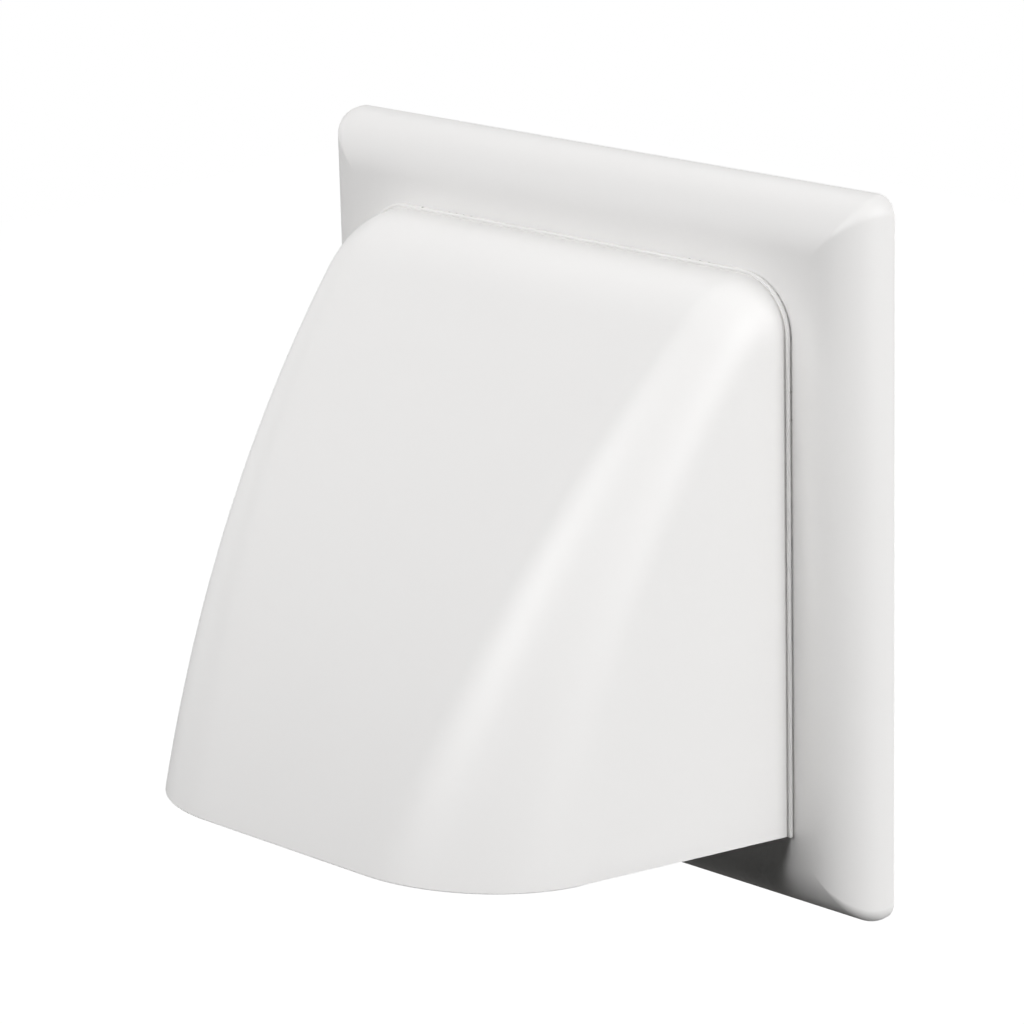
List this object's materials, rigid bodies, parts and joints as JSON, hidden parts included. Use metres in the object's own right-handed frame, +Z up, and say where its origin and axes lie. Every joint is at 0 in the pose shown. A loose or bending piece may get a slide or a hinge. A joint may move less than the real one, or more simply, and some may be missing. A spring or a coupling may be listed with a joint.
{
  "type": "cowled wall vent cover",
  "caption": "Square wall vent cover with a downward-facing hood, a spigot for a round duct and a gravity flap that stops back-draughts.",
  "frame": {"origin": "middle of the four screw holes, where the duct's axis meets the wall surface", "axes": "+Y along the duct's axis into the wall, +Z up, +X to the right as seen from in front"},
  "size_m": [0.15, 0.1256, 0.15],
  "materials": {
    "plate_plastic": "satin",
    "cowl_plastic": "satin",
    "flap_plastic": "satin"
  },
  "bodies": {
    "housing": {"wall_plate": "plate_plastic", "cowl": "cowl_plastic"},
    "flap": {"damper_flap": "flap_plastic"}
  },
  "joints": [
    {"name": "flap_hinge", "type": "hinge", "parent": "housing", "child": "flap", "pos_m": [0, -0.014, 0.0518], "axis": [-1, 0, 0], "range_deg": [0, 40]}
  ]
}
